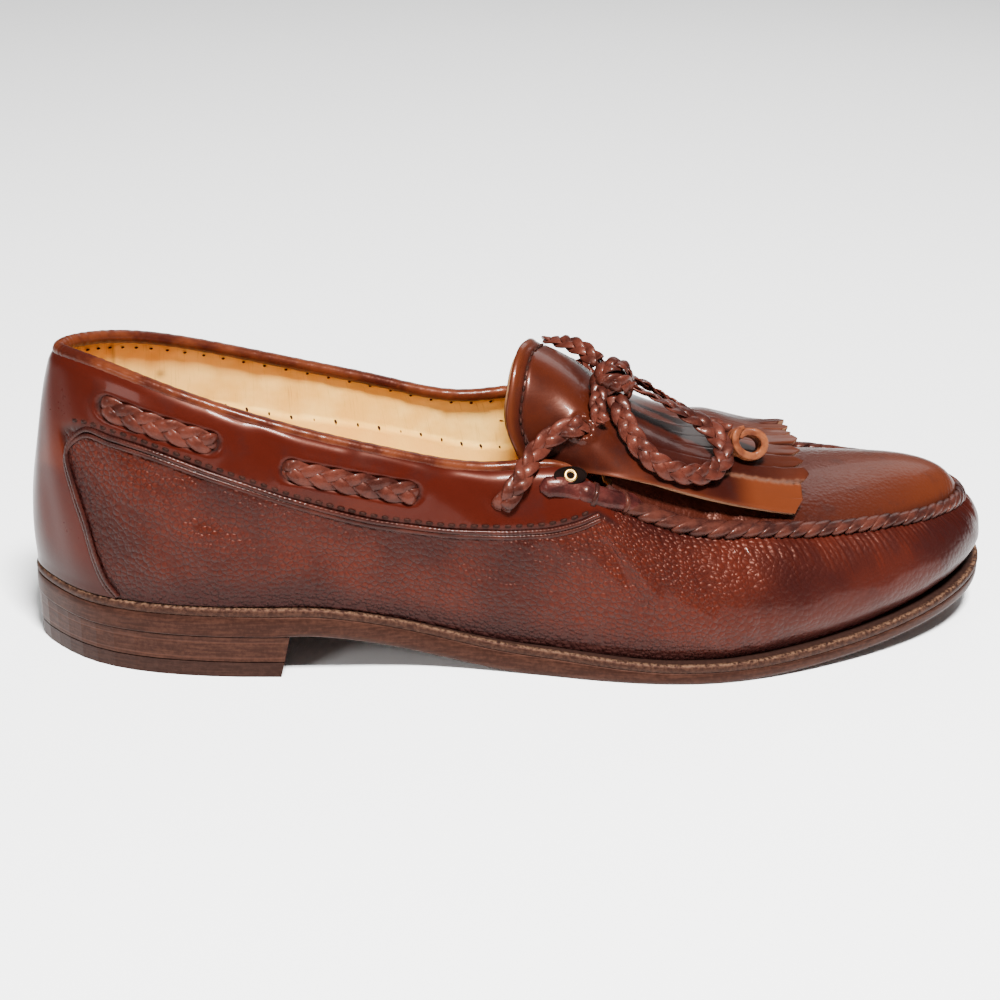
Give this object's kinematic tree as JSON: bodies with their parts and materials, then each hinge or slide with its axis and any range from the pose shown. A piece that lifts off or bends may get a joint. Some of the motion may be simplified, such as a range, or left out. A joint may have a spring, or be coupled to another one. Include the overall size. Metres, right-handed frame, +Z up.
{
  "type": "kiltie loafer",
  "caption": "Men's leather kiltie loafer, right shoe: moccasin upper with rolled seam, fringed kiltie with braided bow, leather sole and low stacked heel.",
  "frame": {"origin": "on the ground, under the middle of the shoe's box (the bow is left out of the box)", "axes": "+X to the toe along the shoe's length, +Y to the inner side of the foot, +Z up"},
  "size_m": [0.303, 0.1044, 0.0942],
  "materials": {
    "upper_leather": "oxblood, pebbled and polished, with smooth collar and counter",
    "kiltie_leather": "smooth and glossy, dark red-brown to orange-brown",
    "tongue_leather": "tan, smooth",
    "lace_leather": "braided strands, semi-gloss",
    "curl_leather": "tan, smooth",
    "sock_leather": "pale tan lining, matt",
    "welt_leather": "dark brown, wheeled and waxed edge",
    "outsole_leather": "dark brown, waxed edge",
    "heel_leather": "stacked, dark brown, satin",
    "eyelet_brass": "polished"
  },
  "bodies": {
    "root": {"outsole": "outsole_leather", "welt": "welt_leather", "heel_stack": "heel_leather", "heel_top_lift": "heel_leather", "insole": "sock_leather", "upper": "upper_leather", "tongue": "tongue_leather", "kiltie": "kiltie_leather", "lace_pass_lateral_rear": "lace_leather", "lace_pass_lateral_front": "lace_leather", "lace_pass_medial_rear": "lace_leather", "lace_pass_medial_front": "lace_leather", "lace_cross_lateral": "lace_leather", "lace_cross_medial": "lace_leather", "eyelet_lateral": "eyelet_brass", "eyelet_medial": "eyelet_brass", "bow_knot": "lace_leather", "bow_loop_near": "lace_leather", "bow_loop_far": "lace_leather", "bow_end_long": "lace_leather", "bow_end_short": "lace_leather", "bow_end_knot": "curl_leather"}
  },
  "joints": []
}
